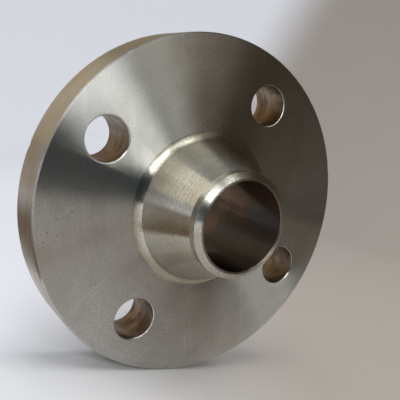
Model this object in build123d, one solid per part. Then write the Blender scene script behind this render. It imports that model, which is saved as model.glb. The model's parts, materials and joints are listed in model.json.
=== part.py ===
from build123d import *
import math
import os

# Weld neck flange, DN 25, PN 10-40, raised face. It is one forging, turned and drilled, so it is one solid.
# The frame is in millimetres. The pipe axis is Y, and Z is up. The origin is the centre of the sealing face.
# The sealing face looks along +Y and the neck points along -Y, so depths below run from the sealing face
# towards the weld end. The flange stands on its rim, at z = -RIM_DIAMETER / 2.

# The plate
RIM_DIAMETER = 115.0
PLATE_DEPTH = 18.0            # sealing face to hub-side face, raised face included
RIM_CHAMFER = 0.5             # both corners of the rim

# The raised sealing face
RAISED_FACE_DIAMETER = 68.0
RAISED_FACE_HEIGHT = 2.0
RAISED_FACE_CHAMFER = 0.3     # only a broken edge

# The bolt holes
BOLT_CIRCLE_DIAMETER = 85.0
BOLT_HOLE_DIAMETER = 14.0
BOLT_HOLE_COUNT = 4
BOLT_HOLE_CHAMFER = 0.4
FIRST_HOLE_ANGLE = 67.5       # degrees from +X towards +Z

# The hub: a short steep band where it leaves the plate, then one long cone up to the weld end
BAND_DIAMETER = 52.8          # at the plate
HUB_DIAMETER = 47.8           # at the top of the band
BAND_HEIGHT = 2.2

# The weld end, which takes pipe of 33.7 mm outside diameter and 2.6 mm wall
NECK_DIAMETER = 33.7
BORE_DIAMETER = 28.5
OVERALL_DEPTH = 41.0          # sealing face to weld end
WELD_END_LENGTH = 4.1         # straight part and bevel together
ROOT_FACE = 0.8               # flat ring left at the bore by the bevel
BEVEL_ANGLE = 37.5            # degrees between the bevel and the end face
BORE_CHAMFER = 0.3            # at the sealing face, where the bore edge is broken

CUTTER_OVERRUN = 2.0          # how far the drill passes each face


def turned_profile():
    """Half section of the turned blank: x is the radius and y is the place along the axis."""
    rim = RIM_DIAMETER / 2
    raised = RAISED_FACE_DIAMETER / 2
    neck = NECK_DIAMETER / 2
    bore = BORE_DIAMETER / 2
    root = bore + ROOT_FACE
    bevel_height = (neck - root) * math.tan(math.radians(BEVEL_ANGLE))
    sealing_side = [
        (bore, -BORE_CHAMFER),
        (bore + BORE_CHAMFER, 0),
        (raised - RAISED_FACE_CHAMFER, 0),
        (raised, -RAISED_FACE_CHAMFER),
        (raised, -RAISED_FACE_HEIGHT),
    ]
    rim_side = [
        (rim - RIM_CHAMFER, -RAISED_FACE_HEIGHT),
        (rim, -RAISED_FACE_HEIGHT - RIM_CHAMFER),
        (rim, -PLATE_DEPTH + RIM_CHAMFER),
        (rim - RIM_CHAMFER, -PLATE_DEPTH),
    ]
    hub_side = [
        (BAND_DIAMETER / 2, -PLATE_DEPTH),
        (HUB_DIAMETER / 2, -PLATE_DEPTH - BAND_HEIGHT),
        (neck, -OVERALL_DEPTH + WELD_END_LENGTH),
        (neck, -OVERALL_DEPTH + bevel_height),
        (root, -OVERALL_DEPTH),
        (bore, -OVERALL_DEPTH),
    ]
    return sealing_side + rim_side + hub_side


def turned_blank():
    """The forging after turning: the profile revolved about the pipe axis."""
    outline = Polyline(*turned_profile(), close=True)
    return revolve(make_face(outline), axis=Axis.Y)


def bolt_hole_cutter():
    """A drill and both countersinks in one solid, on the pipe axis."""
    radius = BOLT_HOLE_DIAMETER / 2
    front = -RAISED_FACE_HEIGHT
    back = -PLATE_DEPTH
    flare = radius + BOLT_HOLE_CHAMFER + CUTTER_OVERRUN
    outline = Polyline(
        (0, front + CUTTER_OVERRUN),
        (flare, front + CUTTER_OVERRUN),
        (radius, front - BOLT_HOLE_CHAMFER),
        (radius, back + BOLT_HOLE_CHAMFER),
        (flare, back - CUTTER_OVERRUN),
        (0, back - CUTTER_OVERRUN),
        close=True,
    )
    return revolve(make_face(outline), axis=Axis.Y)


def bolt_hole_places():
    """Where each hole's axis crosses the sealing face's plane."""
    places = []
    for number in range(BOLT_HOLE_COUNT):
        angle = math.radians(FIRST_HOLE_ANGLE + number * 360 / BOLT_HOLE_COUNT)
        reach = BOLT_CIRCLE_DIAMETER / 2
        places.append(Pos(reach * math.cos(angle), 0, reach * math.sin(angle)))
    return places


def flange():
    """The finished flange."""
    solid = turned_blank()
    for place in bolt_hole_places():
        solid -= place * bolt_hole_cutter()
    return solid


os.makedirs("parts", exist_ok=True)
export_step(flange(), "parts/flange.step")
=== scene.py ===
import json
import math

import bmesh
import bpy
from mathutils import Matrix, Vector


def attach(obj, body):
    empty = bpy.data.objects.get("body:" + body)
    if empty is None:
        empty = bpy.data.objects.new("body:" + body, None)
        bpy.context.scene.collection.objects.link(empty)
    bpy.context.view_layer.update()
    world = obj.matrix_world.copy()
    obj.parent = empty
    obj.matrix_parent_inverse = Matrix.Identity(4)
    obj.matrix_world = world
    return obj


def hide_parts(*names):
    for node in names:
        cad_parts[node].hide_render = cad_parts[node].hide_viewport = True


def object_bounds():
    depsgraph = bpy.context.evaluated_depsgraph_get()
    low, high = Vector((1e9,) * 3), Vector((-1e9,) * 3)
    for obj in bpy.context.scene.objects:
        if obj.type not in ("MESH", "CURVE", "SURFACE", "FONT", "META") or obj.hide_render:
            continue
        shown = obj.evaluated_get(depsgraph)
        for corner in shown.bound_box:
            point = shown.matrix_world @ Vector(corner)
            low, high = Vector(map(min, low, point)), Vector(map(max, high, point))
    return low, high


# A weld neck flange standing on its rim. Everything is in metres, in the frame of the CAD model: the pipe
# axis is Y, the sealing face is the plane y = 0 and looks along +Y, and the neck points along -Y.

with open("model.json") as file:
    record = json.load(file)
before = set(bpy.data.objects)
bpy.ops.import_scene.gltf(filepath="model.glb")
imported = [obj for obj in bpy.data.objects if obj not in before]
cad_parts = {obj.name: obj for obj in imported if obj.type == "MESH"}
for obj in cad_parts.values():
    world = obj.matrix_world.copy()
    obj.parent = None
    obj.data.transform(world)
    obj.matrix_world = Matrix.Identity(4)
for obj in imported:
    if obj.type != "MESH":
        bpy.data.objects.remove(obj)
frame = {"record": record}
cad_low, cad_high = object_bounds()
MOUNTS = {mount["name"]: mount for mount in frame["record"]["mounts"]}
MM = 0.001

# Sizes that the frame gives
RIM = -cad_low.z
FLOOR = cad_low.z
WELD_FACE = cad_low.y
HUB_SIDE = MOUNTS["nut_face"]["pos_m"][1]
BOLTING_FACE = MOUNTS["bolt_circle"]["pos_m"][1]
BORE = MOUNTS["bore"]["dims"]["r_mm"] * MM
NECK = MOUNTS["neck"]["dims"]["r_mm"] * MM
BOLT_CIRCLE = MOUNTS["bolt_circle"]["dims"]["pcd_mm"] / 2 * MM
BOLT_HOLE = MOUNTS["bolt_circle"]["dims"]["hole_r_mm"] * MM
HOLE_COUNT = MOUNTS["bolt_circle"]["dims"]["count"]

# Sizes that the frame doesn't name, the same as in the CAD model
FIRST_HOLE = math.radians(67.5)
RIM_CHAMFER = 0.5 * MM
RAISED = 34.0 * MM
RAISED_CHAMFER = 0.3 * MM
HOLE_CHAMFER = 0.4 * MM
BAND = 26.4 * MM
HUB = 23.9 * MM
BAND_HEIGHT = 2.2 * MM
WELD_END = 4.1 * MM
ROOT_FACE = 0.8 * MM
BEVEL_RISE = (NECK - BORE - ROOT_FACE) * math.tan(math.radians(37.5))
BORE_CHAMFER = 0.3 * MM

# Fineness of the mesh
SEGMENTS = 480
HOLE_SEGMENTS = 96
ARC_STEPS = 3
BROKEN_EDGE = 0.12 * MM       # rounding of most edges
SHARP_EDGE = 0.05 * MM        # rounding of the sealing face's edges
DENT_RINGS = (0.5 * MM, 1.0 * MM, 1.6 * MM)    # extra rings beside the rim's edges, for their dents
SHARP_ANGLE = math.radians(60)                 # faces that meet at more than this aren't shaded as one

# Turned grooves of the sealing face
GROOVE_PITCH = 1.0 * MM
GROOVE_DEPTH = 0.06 * MM
GROOVE_STEPS = 4
GROOVE_MARGIN = 0.7 * MM


def arc(here, before, after, rounding):
    """Points of the arc that rounds the corner at here."""
    to_before = (before - here).normalized()
    to_after = (after - here).normalized()
    half = to_before.angle(to_after) / 2
    centre = here + (to_before + to_after).normalized() * (rounding / math.sin(half))
    run = rounding / math.tan(half)
    start = here + to_before * run - centre
    end = here + to_after * run - centre
    turn = start.angle_signed(end)
    spin = [Matrix.Rotation(-turn * step / ARC_STEPS, 2) for step in range(ARC_STEPS + 1)]
    return [centre + rotation @ start for rotation in spin]


def rounded(corners):
    """The outline through corners of (radius, place along the axis, rounding)."""
    points = []
    for number, (radius, place, rounding) in enumerate(corners):
        here = Vector((radius, place))
        if rounding:
            before = Vector(corners[number - 1][:2])
            after = Vector(corners[(number + 1) % len(corners)][:2])
            points += arc(here, before, after, rounding)
        else:
            points.append(here)
    return points


def grooves():
    """The scalloped grooves that the turning tool leaves on the sealing face, from the bore outwards."""
    start = BORE + BORE_CHAMFER + GROOVE_MARGIN
    width = RAISED - RAISED_CHAMFER - GROOVE_MARGIN - start
    count = round(width / GROOVE_PITCH)
    pitch = width / count
    corners = []
    for number in range(count * GROOVE_STEPS + 1):
        phase = number % GROOVE_STEPS / GROOVE_STEPS
        sunk = GROOVE_DEPTH * (1 - (2 * phase - 1) ** 2)
        corners.append((start + number * pitch / GROOVE_STEPS, -sunk, 0))
    return corners


def flange_outline():
    """Half section of the flange as it comes off the lathe."""
    sealing_side = [
        (BORE, -BORE_CHAMFER, SHARP_EDGE),
        (BORE + BORE_CHAMFER, 0, SHARP_EDGE),
        *grooves(),
        (RAISED - RAISED_CHAMFER, 0, SHARP_EDGE),
        (RAISED, -RAISED_CHAMFER, SHARP_EDGE),
        (RAISED, BOLTING_FACE, 0),
    ]
    rim_side = [
        (RIM - RIM_CHAMFER, BOLTING_FACE, BROKEN_EDGE),
        (RIM, BOLTING_FACE - RIM_CHAMFER, BROKEN_EDGE),
        *[(RIM, BOLTING_FACE - RIM_CHAMFER - reach, 0) for reach in DENT_RINGS],
        *[(RIM, HUB_SIDE + RIM_CHAMFER + reach, 0) for reach in reversed(DENT_RINGS)],
        (RIM, HUB_SIDE + RIM_CHAMFER, BROKEN_EDGE),
        (RIM - RIM_CHAMFER, HUB_SIDE, BROKEN_EDGE),
    ]
    hub_side = [
        (BAND, HUB_SIDE, 0),
        (HUB, HUB_SIDE - BAND_HEIGHT, BROKEN_EDGE),
        (NECK, WELD_FACE + WELD_END, BROKEN_EDGE),
        (NECK, WELD_FACE + BEVEL_RISE, BROKEN_EDGE),
        (BORE + ROOT_FACE, WELD_FACE, BROKEN_EDGE),
        (BORE, WELD_FACE, BROKEN_EDGE),
    ]
    return rounded(sealing_side + rim_side + hub_side)


def turned(name, outline, segments):
    """A mesh object made by turning a closed outline about the pipe axis."""
    mesh = bpy.data.meshes.new(name)
    made = bmesh.new()
    rings = []
    for point in outline:
        ring = []
        for step in range(segments):
            angle = math.tau * step / segments
            place = (point.x * math.cos(angle), point.y, point.x * math.sin(angle))
            ring.append(made.verts.new(place))
        rings.append(ring)
    for number, ring in enumerate(rings):
        inner = rings[number - 1]
        for step in range(segments):
            after = (step + 1) % segments
            made.faces.new((inner[step], inner[after], ring[after], ring[step]))
    bmesh.ops.recalc_face_normals(made, faces=made.faces)
    made.to_mesh(mesh)
    made.free()
    thing = bpy.data.objects.new(name, mesh)
    bpy.context.collection.objects.link(thing)
    return thing


def hole_centres():
    """Where each bolt hole's axis crosses the plane y = 0."""
    step = math.tau / HOLE_COUNT
    angles = [FIRST_HOLE + number * step for number in range(HOLE_COUNT)]
    return [Vector((BOLT_CIRCLE * math.cos(a), 0, BOLT_CIRCLE * math.sin(a))) for a in angles]


def hole_cutter(centre):
    """The drill and its two countersinks as one closed mesh."""
    over = 2 * MM
    core = 0.01 * MM
    flare = BOLT_HOLE + HOLE_CHAMFER + over
    outline = rounded([
        (core, BOLTING_FACE + over, 0),
        (flare, BOLTING_FACE + over, 0),
        (BOLT_HOLE, BOLTING_FACE - HOLE_CHAMFER, BROKEN_EDGE),
        (BOLT_HOLE, HUB_SIDE + HOLE_CHAMFER, BROKEN_EDGE),
        (flare, HUB_SIDE - over, 0),
        (core, HUB_SIDE - over, 0),
    ])
    cutter = turned("hole_cutter", outline, HOLE_SEGMENTS)
    cutter.data.transform(Matrix.Translation(centre))
    return cutter


def drill(thing):
    """Cuts the bolt holes."""
    for centre in hole_centres():
        cutter = hole_cutter(centre)
        cut = thing.modifiers.new("cut", "BOOLEAN")
        cut.operation = "DIFFERENCE"
        cut.solver = "EXACT"
        cut.object = cutter
        bake_modifiers(thing)
        bpy.data.objects.remove(cutter)


def bake_modifiers(thing):
    """Replaces the mesh by what its modifiers make of it."""
    graph = bpy.context.evaluated_depsgraph_get()
    baked = bpy.data.meshes.new_from_object(thing.evaluated_get(graph))
    old = thing.data
    thing.modifiers.clear()
    thing.data = baked
    bpy.data.meshes.remove(old)


# Small dents in the rim's edges: place round the axis and half width in degrees, depth in mm, and which edge,
# the one on the hub's side or the one on the joint's
NICKS = (
    (201, 0.9, 0.28, "hub"), (212, 0.6, 0.22, "hub"), (133, 0.7, 0.30, "hub"), (52, 0.5, 0.18, "hub"),
    (24, 0.8, 0.22, "hub"), (-38, 0.6, 0.20, "hub"), (251, 0.5, 0.16, "hub"), (95, 0.6, 0.22, "joint"),
    (171, 0.9, 0.30, "joint"), (318, 0.7, 0.24, "joint"), (14, 0.5, 0.20, "joint"),
)
NICK_REACH = 1.2 * MM
NICKED_RADIUS = RIM - RIM_CHAMFER - 0.2 * MM    # dents stay outside this radius


def nick(mesh):
    """Dents the rim's edges a little, as knocks in handling do."""
    for vertex in mesh.vertices:
        place = vertex.co
        radius = math.hypot(place.x, place.z)
        if radius < NICKED_RADIUS:
            continue
        turn = math.degrees(math.atan2(place.z, place.x))
        for centre, width, depth, side in NICKS:
            edge = HUB_SIDE if side == "hub" else BOLTING_FACE
            off = (turn - centre + 180) % 360 - 180
            near = max(0.0, 1 - abs(place.y - edge) / NICK_REACH)
            sunk = depth * MM * near * math.exp(-(off / width) ** 2)
            place.x *= 1 - sunk / radius
            place.z *= 1 - sunk / radius


def make_flange():
    """The whole flange as one piece, which stands for the CAD solid."""
    flange = turned("weld_neck_flange", flange_outline(), SEGMENTS)
    drill(flange)
    nick(flange.data)
    flange.data.shade_smooth()
    flange.data.set_sharp_from_angle(angle=SHARP_ANGLE)
    even = flange.modifiers.new("even", "WEIGHTED_NORMAL")
    even.keep_sharp = True
    bake_modifiers(flange)
    finish_flange(flange.data)
    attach(flange, "root")
    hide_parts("flange")


# Helpers for material nodes. Those that add a pattern or a colour return the socket with the result.

def link(tree, source, sink):
    tree.links.new(source, sink)


def feed(tree, socket, value):
    """Links a socket to another node's output, or sets it to a number or colour."""
    if isinstance(value, bpy.types.NodeSocket):
        link(tree, value, socket)
    else:
        socket.default_value = value


def maths(tree, operation, first, second=0.0):
    made = tree.nodes.new("ShaderNodeMath")
    made.operation = operation
    feed(tree, made.inputs[0], first)
    feed(tree, made.inputs[1], second)
    return made.outputs[0]


def vector(tree, x, y, z):
    made = tree.nodes.new("ShaderNodeCombineXYZ")
    for socket, value in zip(made.inputs, (x, y, z)):
        feed(tree, socket, value)
    return made.outputs[0]


def noise(tree, place, scale, detail=2.0, warp=0.0):
    made = tree.nodes.new("ShaderNodeTexNoise")
    feed(tree, made.inputs["Vector"], place)
    made.inputs["Scale"].default_value = scale
    made.inputs["Detail"].default_value = detail
    made.inputs["Distortion"].default_value = warp
    return made.outputs["Fac"]


def ramp(tree, value, low, high, start=0.0, end=1.0):
    """Goes smoothly from start to end while value goes from low to high."""
    made = tree.nodes.new("ShaderNodeMapRange")
    made.interpolation_type = "SMOOTHSTEP"
    for socket, number in zip(made.inputs, (value, low, high, start, end)):
        feed(tree, socket, number)
    return made.outputs[0]


# The sockets of a Mix node that hold colours
MIX_FIRST = 6
MIX_SECOND = 7
MIX_RESULT = 2


def blend(tree, amount, first, second):
    """A colour between first and second."""
    made = tree.nodes.new("ShaderNodeMix")
    made.data_type = "RGBA"
    feed(tree, made.inputs[0], amount)
    feed(tree, made.inputs[MIX_FIRST], first)
    feed(tree, made.inputs[MIX_SECOND], second)
    return made.outputs[MIX_RESULT]


def new_material(name, metallic):
    """A plain material, its node tree and its shader."""
    material = bpy.data.materials.new(name)
    material.use_nodes = True
    shader = material.node_tree.nodes["Principled BSDF"]
    shader.inputs["Metallic"].default_value = metallic
    return material, material.node_tree, shader


def bump(tree, height, distance):
    """Gives the material's shader a fine relief."""
    relief = tree.nodes.new("ShaderNodeBump")
    relief.inputs["Distance"].default_value = distance
    link(tree, height, relief.inputs["Height"])
    link(tree, relief.outputs["Normal"], tree.nodes["Principled BSDF"].inputs["Normal"])


def lathe_place(tree):
    """A point's place, the cosine and sine of its turn, its radius and its place along the axis."""
    place = tree.nodes.new("ShaderNodeTexCoord").outputs["Object"]
    split = tree.nodes.new("ShaderNodeSeparateXYZ")
    link(tree, place, split.inputs[0])
    x, y, z = split.outputs
    squares = maths(tree, "ADD", maths(tree, "MULTIPLY", x, x), maths(tree, "MULTIPLY", z, z))
    radius = maths(tree, "SQRT", squares)
    return place, maths(tree, "DIVIDE", x, radius), maths(tree, "DIVIDE", z, radius), radius, y


def tool_marks(tree, cosine, sine, travel, pitch, turns, detail=2.0):
    """Rings left by a tool, a pitch apart along its travel. More turns make shorter streaks."""
    across = maths(tree, "DIVIDE", travel, pitch)
    x = maths(tree, "MULTIPLY", cosine, turns)
    z = maths(tree, "MULTIPLY", sine, turns)
    return noise(tree, vector(tree, x, across, z), scale=1.0, detail=detail)


# Pits, in groups over a share of the surface
PIT_SPACING = 1.5 * MM
PIT_SIZE = 0.15                # as a share of the spacing
PIT_SOFTNESS = 0.4             # of a pit's edge, as a share of its size
PIT_GROUP_SCALE = 75.0
PITTED_SHARE = 0.43
GROUP_SOFTNESS = 0.05


def pits(tree, place):
    """1 in small round pits, 0 elsewhere."""
    cells = tree.nodes.new("ShaderNodeTexVoronoi")
    link(tree, place, cells.inputs["Vector"])
    cells.inputs["Scale"].default_value = 1 / PIT_SPACING
    inner, outer = PIT_SIZE * (1 - PIT_SOFTNESS), PIT_SIZE * (1 + PIT_SOFTNESS)
    dot = ramp(tree, cells.outputs["Distance"], inner, outer, 1.0, 0.0)
    grouping = noise(tree, place, PIT_GROUP_SCALE)
    group = ramp(tree, grouping, 1 - PITTED_SHARE, 1 - PITTED_SHARE + GROUP_SOFTNESS)
    return maths(tree, "MULTIPLY", dot, group)


# Two sets of scratches: their slant in degrees and their spacing
SCRATCHES = ((17, 4 * MM), (-38, 6 * MM))
SCRATCH_EDGE = (0.010, 0.035)          # where a line fades, as noise away from its middle value
SCRATCH_PATCH_SCALE = (220.0, 75.0)    # of the patches that have scratches, across and along the lines
SCRATCH_PATCH_EDGE = (0.62, 0.72)


def scratches(tree, place, slant, spacing):
    """Short straight scratches across the pipe axis, 1 along each line and 0 elsewhere."""
    slanted = tree.nodes.new("ShaderNodeMapping")
    link(tree, place, slanted.inputs["Vector"])
    slanted.inputs["Rotation"].default_value = (0, math.radians(slant), 0)
    split = tree.nodes.new("ShaderNodeSeparateXYZ")
    link(tree, slanted.outputs[0], split.inputs[0])
    lines = tree.nodes.new("ShaderNodeTexNoise")
    lines.noise_dimensions = "1D"
    link(tree, split.outputs["X"], lines.inputs["W"])
    lines.inputs["Scale"].default_value = 1 / spacing
    lines.inputs["Detail"].default_value = 1.0
    ridge = maths(tree, "ABSOLUTE", maths(tree, "SUBTRACT", lines.outputs["Fac"], 0.5))
    line = ramp(tree, ridge, *SCRATCH_EDGE, 1.0, 0.0)
    across = maths(tree, "MULTIPLY", split.outputs["X"], SCRATCH_PATCH_SCALE[0])
    along = maths(tree, "MULTIPLY", split.outputs["Z"], SCRATCH_PATCH_SCALE[1])
    patches = noise(tree, vector(tree, across, 0.0, along), scale=1.0, detail=0.0)
    return maths(tree, "MULTIPLY", line, ramp(tree, patches, *SCRATCH_PATCH_EDGE))


# How each turned surface looks: colour, stained colour, roughness, depth and pitch of the grain in mm, and
# how pitted and scratched it is, from 0 to 1
TURNED = {
    "plate": ((0.64, 0.625, 0.595), (0.52, 0.49, 0.445), 0.295, 0.0055, 0.05, 0.7),
    "hub": ((0.63, 0.60, 0.51), (0.43, 0.38, 0.28), 0.215, 0.0055, 0.06, 0.2),
    "weld_end": ((0.66, 0.63, 0.57), (0.53, 0.48, 0.40), 0.28, 0.006, 0.07, 0.0),
    "rim": ((0.58, 0.54, 0.46), (0.42, 0.36, 0.26), 0.30, 0.008, 0.08, 0.0),
    # The bore's clean colour is painted shade, darkened as the inside of the bore lies in shade; its stained
    # colour is rust
    "bore": ((0.10, 0.09, 0.075), (0.27, 0.125, 0.055), 0.32, 0.015, 0.10, 0.0),
    "sealing_face": ((0.66, 0.65, 0.62), (0.58, 0.55, 0.50), 0.32, 0.008, 0.06, 0.5),
}
DULL = 0.62                            # colour of a dull speck, as a share of the clean colour
RUST = (0.05, 0.035, 0.025, 1)
BARE_METAL = (0.80, 0.79, 0.76, 1)

# The patterns of a turned surface: pitches in metres, scales in 1 per metre
AXIAL_TRAVEL = 0.87                    # how much of the tool's travel a step along the axis is
FINE_TURNS = 5.0
RING_PITCH = 0.55 * MM
RING_TURNS = 1.2
SPECKLE_SCALE = 1500.0
CLOUD_SCALE = 55.0
CLOUD_WARP = 0.6

# What each pattern does: from and to which of its values, and how much at either end
CLOUD_STAINS = (0.38, 0.68, 0.0, 0.75)
SPECKLE_DULLS = (0.44, 0.68, 0.0, 0.45)
RINGS_DULL = (0.35, 0.65, 0.0, 0.16)
SPECKLE_ROUGHENS = (0.45, 0.70, 0.0, 0.05)
RINGS_ROUGHEN = (0.40, 0.62, -0.010, 0.018)

# The same as plain shares
PITS_RUST = 0.85
SCRATCHES_BARE = 0.30
CLOUD_ROUGHENS = 0.06
PITS_ROUGHEN = 0.3
RINGS_RAISE = 0.7
PITS_SINK = 3.0
SCRATCHES_SINK = 0.25


def turned_patterns(tree, pitch, worn):
    """The patterns of a turned surface by name, each from 0 to 1."""
    place, cosine, sine, radius, along = lathe_place(tree)
    travel = maths(tree, "ADD", radius, maths(tree, "MULTIPLY", along, AXIAL_TRAVEL))
    patterns = {
        "fine": tool_marks(tree, cosine, sine, travel, pitch * MM, FINE_TURNS),
        "rings": tool_marks(tree, cosine, sine, travel, RING_PITCH, RING_TURNS),
        "speckle": noise(tree, place, SPECKLE_SCALE, detail=4.0),
        "cloud": noise(tree, place, CLOUD_SCALE, detail=4.0, warp=CLOUD_WARP),
        "pits": maths(tree, "MULTIPLY", pits(tree, place), worn),
    }
    first, second = [scratches(tree, place, slant, spacing) for slant, spacing in SCRATCHES]
    patterns["scratches"] = maths(tree, "MULTIPLY", maths(tree, "MAXIMUM", first, second), worn)
    return patterns


def turned_colour(tree, patterns, tint, stain):
    """Clean, stained and dull steel, with rust in the pits and bare metal in the scratches."""
    dull = (*[DULL * part for part in tint], 1)
    steel = blend(tree, ramp(tree, patterns["cloud"], *CLOUD_STAINS), (*tint, 1), (*stain, 1))
    steel = blend(tree, ramp(tree, patterns["speckle"], *SPECKLE_DULLS), steel, dull)
    steel = blend(tree, ramp(tree, patterns["rings"], *RINGS_DULL), steel, dull)
    steel = blend(tree, maths(tree, "MULTIPLY", patterns["pits"], PITS_RUST), steel, RUST)
    return blend(tree, maths(tree, "MULTIPLY", patterns["scratches"], SCRATCHES_BARE), steel, BARE_METAL)


def turned_roughness(tree, patterns, roughness):
    """The roughness of a turned surface: about the given one, varied by the patterns."""
    rough = maths(tree, "MULTIPLY", patterns["cloud"], CLOUD_ROUGHENS)
    rough = maths(tree, "ADD", roughness - CLOUD_ROUGHENS / 2, rough)
    rough = maths(tree, "ADD", rough, ramp(tree, patterns["speckle"], *SPECKLE_ROUGHENS))
    rough = maths(tree, "ADD", rough, maths(tree, "MULTIPLY", patterns["pits"], PITS_ROUGHEN))
    return maths(tree, "ADD", rough, ramp(tree, patterns["rings"], *RINGS_ROUGHEN))


def turned_relief(tree, patterns):
    """The height of the grain, sunk in pits and scratches."""
    height = maths(tree, "ADD", patterns["fine"], maths(tree, "MULTIPLY", patterns["rings"], RINGS_RAISE))
    height = maths(tree, "SUBTRACT", height, maths(tree, "MULTIPLY", patterns["pits"], PITS_SINK))
    return maths(tree, "SUBTRACT", height, maths(tree, "MULTIPLY", patterns["scratches"], SCRATCHES_SINK))


def circular_gloss(tree, shader):
    """Spreads the gloss across the circular grain."""
    shader.inputs["Anisotropic"].default_value = 1
    shader.inputs["Anisotropic Rotation"].default_value = 0.25
    tangent = tree.nodes.new("ShaderNodeTangent")
    tangent.direction_type = "RADIAL"
    tangent.axis = "Y"
    link(tree, tangent.outputs["Tangent"], shader.inputs["Tangent"])


def turned_steel(name):
    """Stainless steel as it comes off the lathe, with its circular grain, pits, scratches and stains."""
    tint, stain, roughness, depth, pitch, worn = TURNED[name]
    material, tree, shader = new_material("turned_" + name, metallic=1)
    patterns = turned_patterns(tree, pitch, worn)
    link(tree, turned_colour(tree, patterns, tint, stain), shader.inputs["Base Color"])
    link(tree, turned_roughness(tree, patterns, roughness), shader.inputs["Roughness"])
    circular_gloss(tree, shader)
    bump(tree, turned_relief(tree, patterns), depth * MM)
    return material


# The wall of a drilled hole
DRILLED_TAN = (0.27, 0.20, 0.125, 1)
DRILLED_BROWN = (0.13, 0.08, 0.045, 1)
DRILLED_BRIGHT = (0.40, 0.35, 0.27, 1)
DRILL_PITCH = 0.45 * MM
DRILL_DEPTH = 0.12 * MM
DRILL_TURNS = 3.0
DRILLED_CLOUD_SCALE = 160.0
DRILLED_CLOUD_WARP = 0.8
CLOUD_BROWNS = (0.38, 0.62)
MARKS_BRIGHTEN = (0.50, 0.66, 0.0, 0.60)
DRILLED_ROUGHNESS = 0.30
MARKS_ROUGHEN = 0.22


def drilled_steel():
    """The duller, browner wall that a drill leaves, with its ring marks."""
    material, tree, shader = new_material("drilled_steel", metallic=1)
    place, cosine, sine, _, along = lathe_place(tree)
    marks = tool_marks(tree, cosine, sine, along, DRILL_PITCH, DRILL_TURNS, detail=3.0)
    cloud = noise(tree, place, DRILLED_CLOUD_SCALE, detail=4.0, warp=DRILLED_CLOUD_WARP)
    colour = blend(tree, ramp(tree, cloud, *CLOUD_BROWNS), DRILLED_TAN, DRILLED_BROWN)
    colour = blend(tree, ramp(tree, marks, *MARKS_BRIGHTEN), colour, DRILLED_BRIGHT)
    link(tree, colour, shader.inputs["Base Color"])
    rough = maths(tree, "ADD", DRILLED_ROUGHNESS, maths(tree, "MULTIPLY", marks, MARKS_ROUGHEN))
    link(tree, rough, shader.inputs["Roughness"])
    bump(tree, marks, DRILL_DEPTH)
    return material


FINISHES = (*TURNED, "hole_wall")

# A face is part of a surface when its middle is this near to it
HOLE_MARGIN = 0.02 * MM
RADIUS_MARGIN = 0.05 * MM
LENGTH_MARGIN = 0.01 * MM
ACROSS_AXIS = 0.5              # a face whose normal has less of Y than this is part of a wall


def finish_of(face, holes):
    """The name of the finish that a face of the flange has."""
    middle = face.center
    radius = math.hypot(middle.x, middle.z)
    off_hole = min((Vector((middle.x, 0, middle.z)) - centre).length for centre in holes)
    if off_hole < BOLT_HOLE + HOLE_MARGIN and abs(face.normal.y) < ACROSS_AXIS:
        return "hole_wall"
    if radius < BORE + RADIUS_MARGIN:
        return "bore"
    if radius > RIM - RADIUS_MARGIN:
        return "rim"
    if middle.y < WELD_FACE + BEVEL_RISE - LENGTH_MARGIN:
        return "weld_end"
    if middle.y < HUB_SIDE - LENGTH_MARGIN:
        return "hub"
    if middle.y > BOLTING_FACE - LENGTH_MARGIN:
        return "sealing_face"
    return "plate"


def finish_flange(mesh):
    """Gives every face of the flange its finish."""
    for name in TURNED:
        mesh.materials.append(turned_steel(name))
    mesh.materials.append(drilled_steel())
    holes = hole_centres()
    for face in mesh.polygons:
        face.material_index = FINISHES.index(finish_of(face, holes))


# Camera. It stands to the left in front of the neck, a little above the pipe axis. It is turned from +Y to
# the right, looks slightly down and is rolled.
CAMERA_PLACE = Vector((-0.1069, -0.1720, 0.0220))
CAMERA_AZIMUTH = math.radians(-34.2)
CAMERA_ELEVATION = math.radians(5.8)
CAMERA_ROLL = math.radians(13.7)
SENSOR = 36
LENS = 50.5
NEAREST = 0.01                 # what is nearer to the camera isn't drawn


def make_camera():
    data = bpy.data.cameras.new("camera")
    data.sensor_width = SENSOR
    data.lens = LENS
    data.clip_start = NEAREST
    camera = bpy.data.objects.new("camera", data)
    bpy.context.collection.objects.link(camera)
    level = Matrix.Rotation(math.pi / 2 - CAMERA_ELEVATION, 4, "X")
    turn = Matrix.Rotation(CAMERA_AZIMUTH, 4, "Z")
    roll = Matrix.Rotation(CAMERA_ROLL, 4, "Z")
    camera.matrix_world = Matrix.Translation(CAMERA_PLACE) @ turn @ level @ roll
    bpy.context.scene.camera = camera


# The floor's paper: its lit colour and its colour in painted shade, and where one turns into the other along
# a direction
LIT_PAPER = (0.81, 0.83, 0.88, 1)
# Painted shade: the darker, warmer paper stands for the paper in shade
SHADED_PAPER = (0.38, 0.34, 0.305, 1)
PAINTED_SHADE_DIRECTION = (0.83, -0.56, -0.30)
PAINTED_SHADE_EDGE = (-0.05, 0.09)
PAPER_ROUGHNESS = 0.8


def paper():
    """Plain matt paper, cool white on one side of the flange and greyer and warmer on the other, where shade
    is painted into its colour.
    """
    material, tree, shader = new_material("paper", metallic=0)
    place = tree.nodes.new("ShaderNodeTexCoord").outputs["Object"]
    across = tree.nodes.new("ShaderNodeVectorMath")
    across.operation = "DOT_PRODUCT"
    link(tree, place, across.inputs[0])
    across.inputs[1].default_value = PAINTED_SHADE_DIRECTION
    # Painted shade: past this edge the paper is coloured as if it lay in shade
    painted_shade = ramp(tree, across.outputs["Value"], *PAINTED_SHADE_EDGE)
    link(tree, blend(tree, painted_shade, LIT_PAPER, SHADED_PAPER), shader.inputs["Base Color"])
    shader.inputs["Roughness"].default_value = PAPER_ROUGHNESS
    return material


FLOOR_CORE = 0.001
FLOOR_RADIUS = 0.55
WALL_RADIUS = 1.0
WALL_HEIGHT = 0.9
SWEEP_STEPS = 16
FLOOR_SEGMENTS = 96


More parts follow.
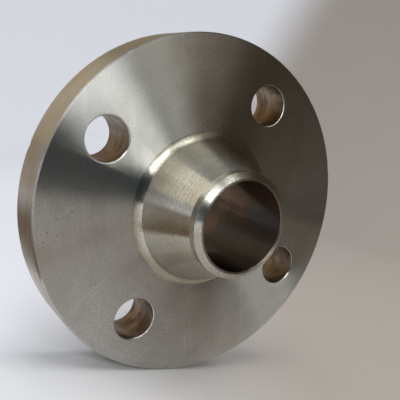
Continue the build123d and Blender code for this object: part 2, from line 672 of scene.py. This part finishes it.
def sweep_outline():
    """Half section of the floor: flat, then a quarter circle, then a wall."""
    bend = WALL_RADIUS - FLOOR_RADIUS
    outline = [(FLOOR_CORE, 0), (FLOOR_RADIUS / 2, 0)]
    for step in range(SWEEP_STEPS + 1):
        angle = math.pi / 2 * step / SWEEP_STEPS
        outline.append((FLOOR_RADIUS + bend * math.sin(angle), bend * (1 - math.cos(angle))))
    outline.append((WALL_RADIUS, WALL_HEIGHT))
    return outline


def make_floor():
    """A flat round floor that curves up into a low wall all round, so that no horizon shows."""
    mesh = bpy.data.meshes.new("floor")
    made = bmesh.new()
    rings = []
    turns = [math.tau * step / FLOOR_SEGMENTS for step in range(FLOOR_SEGMENTS)]
    for radius, height in sweep_outline():
        places = [(radius * math.cos(turn), radius * math.sin(turn), FLOOR + height) for turn in turns]
        rings.append([made.verts.new(place) for place in places])
    for inner, outer in zip(rings, rings[1:]):
        for step in range(FLOOR_SEGMENTS):
            after = (step + 1) % FLOOR_SEGMENTS
            made.faces.new((inner[step], outer[step], outer[after], inner[after]))
    made.faces.new(rings[0])
    made.to_mesh(mesh)
    made.free()
    mesh.shade_smooth()
    floor = bpy.data.objects.new("floor", mesh)
    bpy.context.collection.objects.link(floor)
    mesh.materials.append(paper())


# Colours of the cards
WARM_DARK = (0.050, 0.038, 0.024)
COOL_DARK = (0.015, 0.026, 0.032)
DIM = (0.055, 0.045, 0.035)
GREY = (0.225, 0.19, 0.155)
SOFT_EDGE = (0.28, 0.25, 0.22)
BROWN = (0.15, 0.095, 0.045)
TAN = (0.36, 0.255, 0.13)
HAZE = (0.75, 0.71, 0.64)
PALE = (1.15, 1.09, 0.98)
BRIGHT = (2.2, 2.3, 2.2)

# Curved cards round the flange: two opposite corners as azimuth and elevation in degrees, then distance
CURVED_CARDS = {
    "wall_card": ((-8, 26), (14, 60), 0.72, BRIGHT),
    "haze_card": ((12, 22), (26, 70), 0.74, HAZE),
    "dark_front": ((-60, -9.7), (24, 16), 0.34, COOL_DARK),
    "dim_side": ((22, -15), (45, -3), 0.16, DIM),
    "grey_side": ((45, -15), (100, -3), 0.16, GREY),
    "dark_side": ((22, -3), (100, 60), 0.16, WARM_DARK),
    "soft_edge": ((19, 18), (35, 60), 0.155, SOFT_EDGE),
    "dark_room": ((-75, 0), (110, 88), 0.85, WARM_DARK),
    "pale_left": ((-124, 10), (-84, 58), 0.6, PALE),
}
CARD_COLUMNS = 24
CARD_ROWS = 8

# Flat cards: one corner, then the two sides that meet there
CARD_LIFT = 1 * MM             # keeps the cards that lie on the floor clear of it
FLAT_CARDS = {
    # Painted shadow: this dark card on the floor, which only the metal mirrors, stands for a shadow on the
    # floor in front and to the right
    "shadow_floor_card": ((0.05, -0.60, FLOOR + CARD_LIFT), (0.55, 0, 0), (0, 0.535, 0), WARM_DARK),
    "brown_floor": ((-0.50, -0.07, FLOOR + CARD_LIFT), (0.43, 0, 0), (0, 0.21, 0), BROWN),
    "tan_left": ((-0.40, 0.25, FLOOR), (0.29, 0, 0), (0, 0, 0.45), TAN),
    "tan_top": ((-0.11, 0.25, 0.09), (0.19, 0, 0), (0, 0, 0.30), TAN),
}

ROOM_COLOUR = (0.80, 0.84, 0.92, 1)
ROOM_STRENGTH = 0.34


def around(azimuth, elevation, distance):
    """A point at a distance from the flange's middle. Azimuth 0 is in front, along -Y, and 90 is along +X."""
    turn, rise = math.radians(azimuth), math.radians(elevation)
    level = math.cos(rise)
    middle = Vector((0, HUB_SIDE, 0))
    return middle + distance * Vector((level * math.sin(turn), -level * math.cos(turn), math.sin(rise)))


def curved_card(name, low, high, distance, colour):
    points = []
    for row in range(CARD_ROWS + 1):
        elevation = low[1] + (high[1] - low[1]) * row / CARD_ROWS
        for column in range(CARD_COLUMNS + 1):
            azimuth = low[0] + (high[0] - low[0]) * column / CARD_COLUMNS
            points.append(around(azimuth, elevation, distance))
    wide = CARD_COLUMNS + 1
    corners = [row * wide + column for row in range(CARD_ROWS) for column in range(CARD_COLUMNS)]
    hang(name, points, [(at, at + 1, at + wide + 1, at + wide) for at in corners], colour)


def flat_card(name, corner, across, up, colour):
    corner, across, up = Vector(corner), Vector(across), Vector(up)
    hang(name, [corner, corner + across, corner + across + up, corner + up], [(0, 1, 2, 3)], colour)


def hang(name, points, faces, colour):
    """An evenly glowing card that only the metal mirrors."""
    mesh = bpy.data.meshes.new(name)
    mesh.from_pydata(points, [], faces)
    mesh.materials.append(glowing(name, colour))
    card = bpy.data.objects.new(name, mesh)
    bpy.context.collection.objects.link(card)
    card.visible_camera = False
    card.visible_diffuse = False
    card.visible_shadow = False
    card.visible_transmission = False


def glowing(name, colour):
    material = bpy.data.materials.new(name)
    material.use_nodes = True
    tree = material.node_tree
    tree.nodes.clear()
    glow = tree.nodes.new("ShaderNodeEmission")
    glow.inputs["Color"].default_value = (*colour, 1)
    result = tree.nodes.new("ShaderNodeOutputMaterial")
    link(tree, glow.outputs["Emission"], result.inputs["Surface"])
    return material


def area_light(name, place, aim, size, power, colour, tilt=0):
    """A rectangular lamp that looks from place at aim, tilted about that line by so many degrees."""
    data = bpy.data.lights.new(name, "AREA")
    data.shape = "RECTANGLE"
    data.size, data.size_y = size
    data.energy = power
    data.color = colour
    light = bpy.data.objects.new(name, data)
    bpy.context.collection.objects.link(light)
    facing = (Vector(aim) - Vector(place)).to_track_quat("-Z", "Y").to_matrix().to_4x4()
    spin = Matrix.Rotation(math.radians(tilt), 4, "Z")
    light.matrix_world = Matrix.Translation(place) @ facing @ spin
    return light


def make_lights():
    """One lamp that the metal mirrors, two that it doesn't, the cards and the room's own light."""
    window_place = around(azimuth=-14, elevation=23, distance=0.75)
    area_light("window", window_place, aim=(0, HUB_SIDE, 0), size=(0.34, 0.13), power=2.4,
               colour=(0.95, 1, 1), tilt=33)
    ceiling = area_light("ceiling", (-0.1, -0.2, 1.0), aim=(0, 0, 0), size=(0.8, 0.8), power=6.9,
                         colour=(1, 0.99, 0.97))
    ceiling.visible_glossy = False
    side = area_light("side", (0.75, 0.0, 0.65), aim=(0, 0, FLOOR), size=(0.35, 0.35), power=2.2,
                      colour=(1, 0.98, 0.95))
    side.visible_glossy = False
    for name, card in CURVED_CARDS.items():
        curved_card(name, *card)
    for name, card in FLAT_CARDS.items():
        flat_card(name, *card)
    world = bpy.data.worlds.new("room")
    bpy.context.scene.world = world
    world.use_nodes = True
    room = world.node_tree.nodes["Background"]
    room.inputs["Color"].default_value = ROOM_COLOUR
    room.inputs["Strength"].default_value = ROOM_STRENGTH
    # Colours are shown as they are, without a film's curve
    bpy.context.scene.view_settings.view_transform = "Standard"


make_camera()
make_floor()
make_lights()
make_flange()
